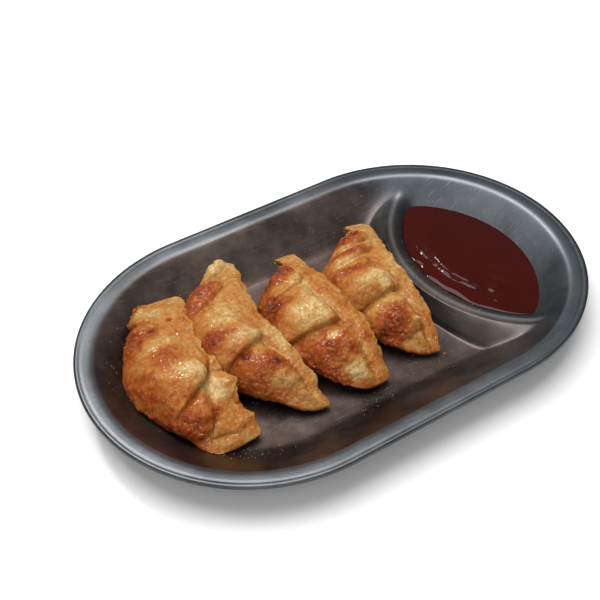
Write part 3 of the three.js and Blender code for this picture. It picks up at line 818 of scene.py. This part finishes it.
def scatter_grains(name, places, sizes, material, draws):
    """Joined eight-sided grains, one at each place, each stretched and turned at random."""
    count = len(places)
    turn = draws.uniform(0, 2 * np.pi, count)
    stretch = sizes[:, None] * draws.uniform(0.6, 1.3, (count, 3)) * (1, 1, 0.7)
    jitter = draws.uniform(-0.25, 0.25, (count, len(GRAIN_POINTS), 3))
    shape = (GRAIN_POINTS + jitter) * stretch[:, None]
    x = shape[..., 0] * np.cos(turn)[:, None] - shape[..., 1] * np.sin(turn)[:, None]
    y = shape[..., 0] * np.sin(turn)[:, None] + shape[..., 1] * np.cos(turn)[:, None]
    points = np.stack([x, y, shape[..., 2]], -1) + places[:, None]
    faces = GRAIN_FACES + len(GRAIN_POINTS) * np.arange(count)[:, None, None]
    piece = add_piece(name, points.reshape(-1, 3), faces.reshape(-1, 3), material)
    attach(piece, "root")


def dropped(x, y, sizes):
    """Places on the steel, with each grain's underside just touching it."""
    return np.stack([x, y, tray_z(x, y) + 0.3 * sizes], -1)


def grain_material(name, first, second):
    """Matt grains whose colour changes from one to the next."""
    material, shader, node, link = new_material(name)
    place = node("ShaderNodeTexCoord").outputs["Object"]
    vary = mottled(node, place, 300.0)
    link(blended(node, vary, first, second), "Base Color")
    shader.inputs["Roughness"].default_value = 0.5
    return material


draws = np.random.default_rng(61)
dust_count = 1500
wiped_edge, wiped_front = 12, -46     # no dust within this inset, or in front of this Y
dust_x = draws.uniform(-100, 52, dust_count)
dust_y = draws.uniform(-60, 60, dust_count)
thick = noise(np.stack([dust_x, dust_y, 0 * dust_x], -1), 22, 62) + 0.35
dust_inset = end_radius - np.hypot(np.maximum(np.abs(dust_x) - axis_half, 0), dust_y)
lands = (dust_inset > wiped_edge) & (dust_y > wiped_front)
lands = lands & (draws.uniform(0, 1, dust_count) < thick)
dust_x, dust_y = dust_x[lands], dust_y[lands]
dust_size = draws.uniform(0.1, 0.26, len(dust_x))
scatter_grains("flour_dust", dropped(dust_x, dust_y, dust_size), dust_size,
               grain_material("flour_dust", rgb(182, 174, 166), rgb(146, 134, 124)), draws)

tip_x, tip_y = GYOZAS["gyoza_striped"]["front"]
crumb_count = 14
crumb_x = np.concatenate([[tip_x + 1.2], draws.uniform(-85, 38, crumb_count)])
crumb_y = np.concatenate([[tip_y - 0.6], draws.uniform(-45, -35, crumb_count)])
crumb_size = np.concatenate([[0.8], draws.uniform(0.16, 0.42, crumb_count)])
scatter_grains("fried_crumbs", dropped(crumb_x, crumb_y, crumb_size), crumb_size,
               grain_material("fried_crumbs", rgb(176, 140, 96), rgb(110, 60, 30)), draws)


# ---- The oil on the dough ----
# Beads of frying oil left on the browned bulges, which catch the light. Each is a ball
# flattened along the dough's normal.

beads_each = 260
bead_turns, bead_rows = 8, 5
flatness = 0.6            # share of a bead's height that is lost
bead_places = []
bead_normals = []
bead_sizes = []
for points, normals, brown in gyoza_skins:
    facing = np.argwhere((normals[..., 2] > 0.25) & (brown > 0.25))
    picked = facing[draws.integers(0, len(facing), beads_each)]
    size = draws.uniform(0.2, 0.5, beads_each)
    bead_places.append(points[picked[:, 0], picked[:, 1]])
    bead_normals.append(normals[picked[:, 0], picked[:, 1]])
    bead_sizes.append(size)
bead_places, bead_sizes = np.concatenate(bead_places), np.concatenate(bead_sizes)
bead_normals = np.concatenate(bead_normals)[:, None]
latitude, longitude = np.meshgrid(np.linspace(np.pi / 2, -np.pi / 2, bead_rows),
                                  np.linspace(0, 2 * np.pi, bead_turns, endpoint=False),
                                  indexing="ij")
ball = np.stack([np.cos(latitude) * np.cos(longitude), np.cos(latitude) * np.sin(longitude),
                 np.sin(latitude)], -1).reshape(-1, 3)
ball_faces = grid_faces(bead_rows, bead_turns, flip=True)
flatten = flatness * (ball * bead_normals).sum(-1, keepdims=True) * bead_normals
bead_points = bead_places[:, None] + (ball - flatten) * bead_sizes[:, None, None]
bead_faces = ball_faces + len(ball) * np.arange(len(bead_places))[:, None, None]
oil, shader, node, link = new_material("frying_oil")
place = node("ShaderNodeTexCoord").outputs["Object"]
amber = mottled(node, place, 400.0)
link(blended(node, amber, rgb(150, 86, 36), rgb(176, 120, 60)), "Base Color")
shader.inputs["Roughness"].default_value = 0.16
beads = add_piece("oil_beads", bead_points.reshape(-1, 3), bead_faces.reshape(-1, 4), oil,
                  weld=0.002)
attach(beads, "root")


# ---- The floor, the light and the camera ----
# A pale tabletop under a large soft lamp, with a small one far behind that draws the glints
# on the dough and the sauce, and a weaker large one at the front left.

floor_half = 3000.0
floor_paint, shader, node, link = new_material("pale_floor")
place = node("ShaderNodeTexCoord").outputs["Object"]
haze = mottled(node, place, 6.0)
link(blended(node, haze, rgb(238, 238, 238), rgb(244, 244, 244)), "Base Color")
shader.inputs["Roughness"].default_value = 0.8
floor_corners = floor_half * np.array([[-1, -1, 0], [1, -1, 0], [1, 1, 0], [-1, 1, 0]])
floor = add_piece("floor", floor_corners, [[0, 1, 2, 3]], floor_paint)


def soft_lamp(name, size, power, place_mm, target_mm):
    """A square area lamp at a place, facing a target."""
    lamp = bpy.data.lights.new(name, "AREA")
    lamp.size = size * MM
    lamp.energy = power
    lamp_object = bpy.data.objects.new(name, lamp)
    lamp_object.location = Vector(place_mm) * MM
    facing = Vector(target_mm) - Vector(place_mm)
    lamp_object.rotation_euler = facing.to_track_quat("-Z", "Y").to_euler()
    bpy.context.scene.collection.objects.link(lamp_object)


soft_lamp("overhead_lamp", 800, 10.5, (-40, 140, 950), (0, 0, 0))
soft_lamp("glint_lamp", 120, 2.8, (-100, 620, 760), (0, 0, 0))
soft_lamp("front_lamp", 900, 4.4, (-500, -700, 700), (0, 0, 0))
world = bpy.data.worlds.new("studio")
world.use_nodes = True
sky = world.node_tree.nodes["Background"]
sky.inputs["Color"].default_value = (1, 1, 1, 1)
sky.inputs["Strength"].default_value = 0.24
bpy.context.scene.world = world

view_azimuth, view_height, view_roll = np.radians([-31.472, 43.703, -1.516])
view_distance = 452.23
view_target = np.array([-12.60, 9.86, rim_top])
forward = np.array([-np.sin(view_azimuth) * np.cos(view_height),
                    np.cos(view_azimuth) * np.cos(view_height), -np.sin(view_height)])
across = np.array([forward[1], -forward[0], 0]) / np.hypot(forward[0], forward[1])
upward = np.cross(across, forward)
level_axis = across * np.cos(view_roll) + upward * np.sin(view_roll)
top_axis = upward * np.cos(view_roll) - across * np.sin(view_roll)
lens = bpy.data.cameras.new("camera")
lens.lens = 65.30
lens.sensor_width = 36.0
lens.clip_start = 0.01
camera = bpy.data.objects.new("camera", lens)
turn = Matrix(np.stack([level_axis, top_axis, -forward], 1).tolist()).to_4x4()
eye = Vector((view_target - forward * view_distance) * MM)
camera.matrix_world = Matrix.Translation(eye) @ turn
bpy.context.scene.collection.objects.link(camera)
bpy.context.scene.camera = camera
bpy.context.scene.view_settings.view_transform = "Standard"
